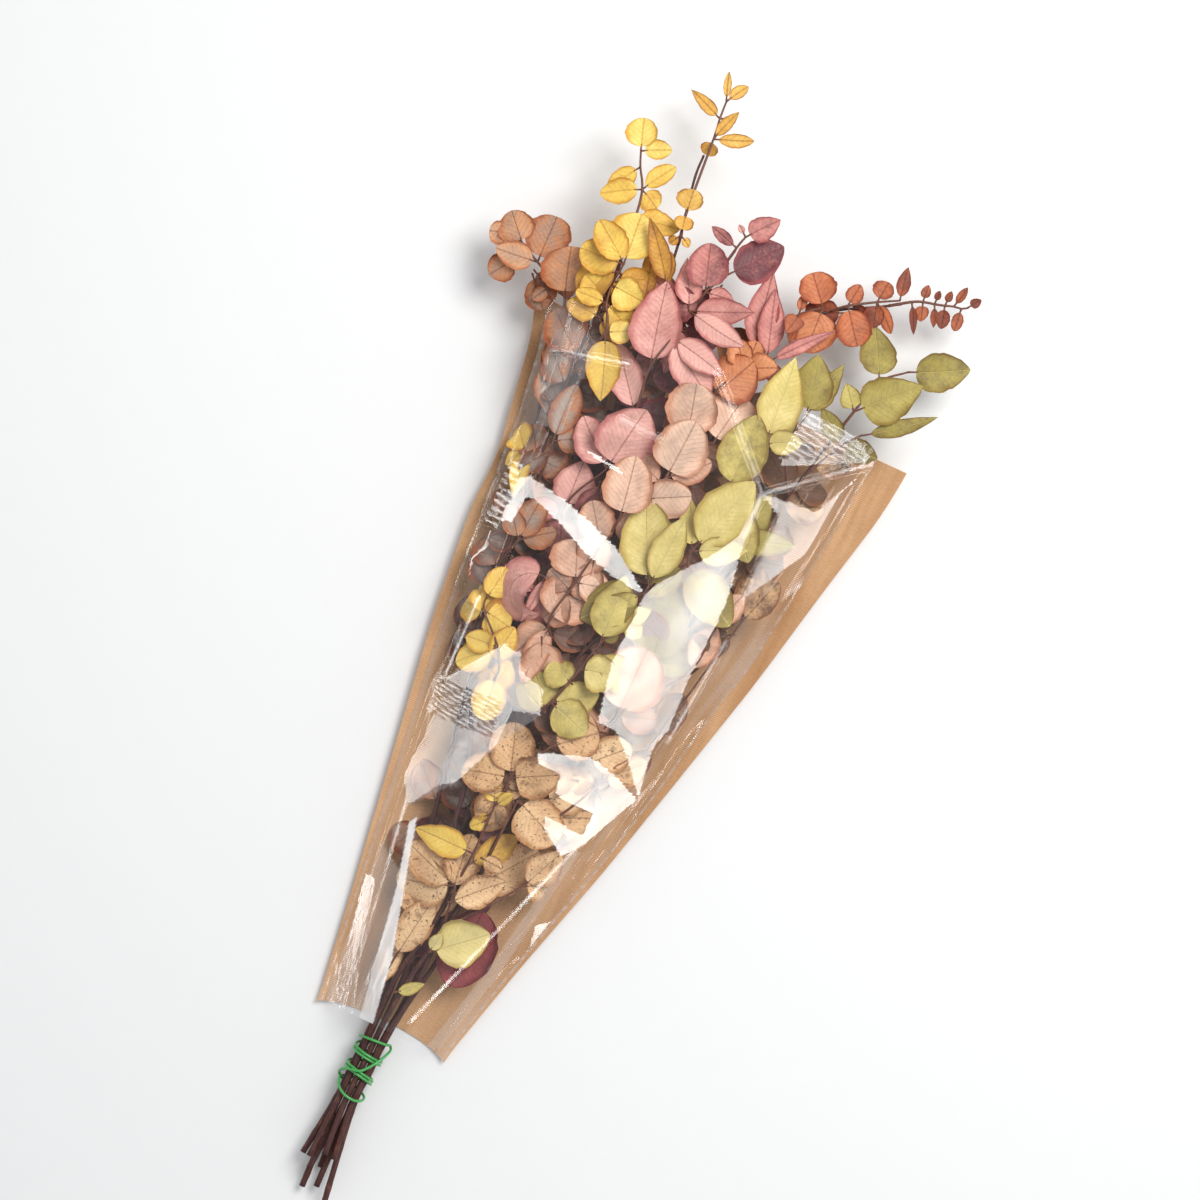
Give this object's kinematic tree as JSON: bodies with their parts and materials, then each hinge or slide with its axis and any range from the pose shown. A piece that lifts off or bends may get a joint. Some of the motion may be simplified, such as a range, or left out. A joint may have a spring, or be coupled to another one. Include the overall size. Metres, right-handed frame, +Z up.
{
  "type": "bunch of dried eucalyptus in a paper and film sleeve",
  "caption": "Tied bunch of dyed dried eucalyptus branches, lying down in an open tapered sleeve of brown paper and clear film.",
  "frame": {"origin": "middle of the footprint, on the surface that the bunch lies on", "axes": "+Y from the cut stem ends to the leaf tips, +Z up, away from the paper back, +X to the right seen from above"},
  "size_m": [0.2938, 0.7228, 0.0899],
  "materials": {
    "kraft_paper": "brown kraft paper with a fine cross rib",
    "clear_film": "thin clear crinkled film",
    "tie_wire": "green coated wire, satin",
    "stem_bark": "dark red-brown bark, satin, pale cut ends",
    "tan_leaf": "dull tan brown, rusty towards the edge",
    "yellow_leaf": "dull warm yellow",
    "gold_leaf": "dull golden orange",
    "mauve_leaf": "dull dusty pink to mauve",
    "rust_leaf": "dull rust",
    "olive_leaf": "dull olive",
    "lime_leaf": "dull pale yellow-green",
    "peach_leaf": "dull peach to grey-brown",
    "ochre_leaf": "dull ochre with dark speckles",
    "burgundy_leaf": "dull burgundy"
  },
  "bodies": {
    "root": {"kraft_back": "kraft_paper", "clear_front": "clear_film", "green_tie": "tie_wire", "tan_stem": "stem_bark", "yellow_stem": "stem_bark", "gold_stem": "stem_bark", "mauve_stem": "stem_bark", "rust_stem": "stem_bark", "peach_stem": "stem_bark", "olive_stem": "stem_bark", "lime_stem": "stem_bark", "ochre_stem": "stem_bark", "tan_tip_spray": "tan_leaf", "tan_outer_spray": "tan_leaf", "tan_middle_spray": "tan_leaf", "tan_lower_spray": "tan_leaf", "yellow_tip_spray": "yellow_leaf", "yellow_crown_spray": "yellow_leaf", "yellow_upper_spray": "yellow_leaf", "yellow_outer_spray": "yellow_leaf", "yellow_middle_spray": "yellow_leaf", "yellow_lower_spray": "yellow_leaf", "gold_tip_spray": "gold_leaf", "gold_long_spray": "gold_leaf", "mauve_tip_spray": "mauve_leaf", "mauve_crown_spray": "mauve_leaf", "mauve_upper_spray": "mauve_leaf", "mauve_broad_spray": "mauve_leaf", "mauve_right_spray": "mauve_leaf", "mauve_middle_spray": "mauve_leaf", "mauve_curled_spray": "mauve_leaf", "mauve_lower_spray": "mauve_leaf", "rust_tip_spray": "rust_leaf", "rust_outer_spray": "rust_leaf", "rust_inner_spray": "rust_leaf", "orange_spray": "rust_leaf", "olive_tip_spray": "olive_leaf", "olive_side_spray": "olive_leaf", "olive_upper_spray": "olive_leaf", "olive_inner_spray": "olive_leaf", "lime_tip_spray": "lime_leaf", "lime_broad_spray": "lime_leaf", "lime_upper_spray": "lime_leaf", "lime_middle_spray": "lime_leaf", "lime_lower_spray": "lime_leaf", "peach_tip_spray": "peach_leaf", "peach_upper_spray": "peach_leaf", "peach_middle_spray": "peach_leaf", "peach_inner_spray": "peach_leaf", "peach_right_spray": "peach_leaf", "brown_side_spray": "ochre_leaf", "ochre_tip_spray": "ochre_leaf", "ochre_right_spray": "ochre_leaf", "ochre_middle_spray": "ochre_leaf", "ochre_side_spray": "ochre_leaf", "ochre_left_spray": "ochre_leaf", "ochre_lower_spray": "ochre_leaf", "burgundy_spray": "burgundy_leaf", "loose_crescent_leaf": "lime_leaf", "loose_oval_leaf": "ochre_leaf"}
  },
  "joints": []
}
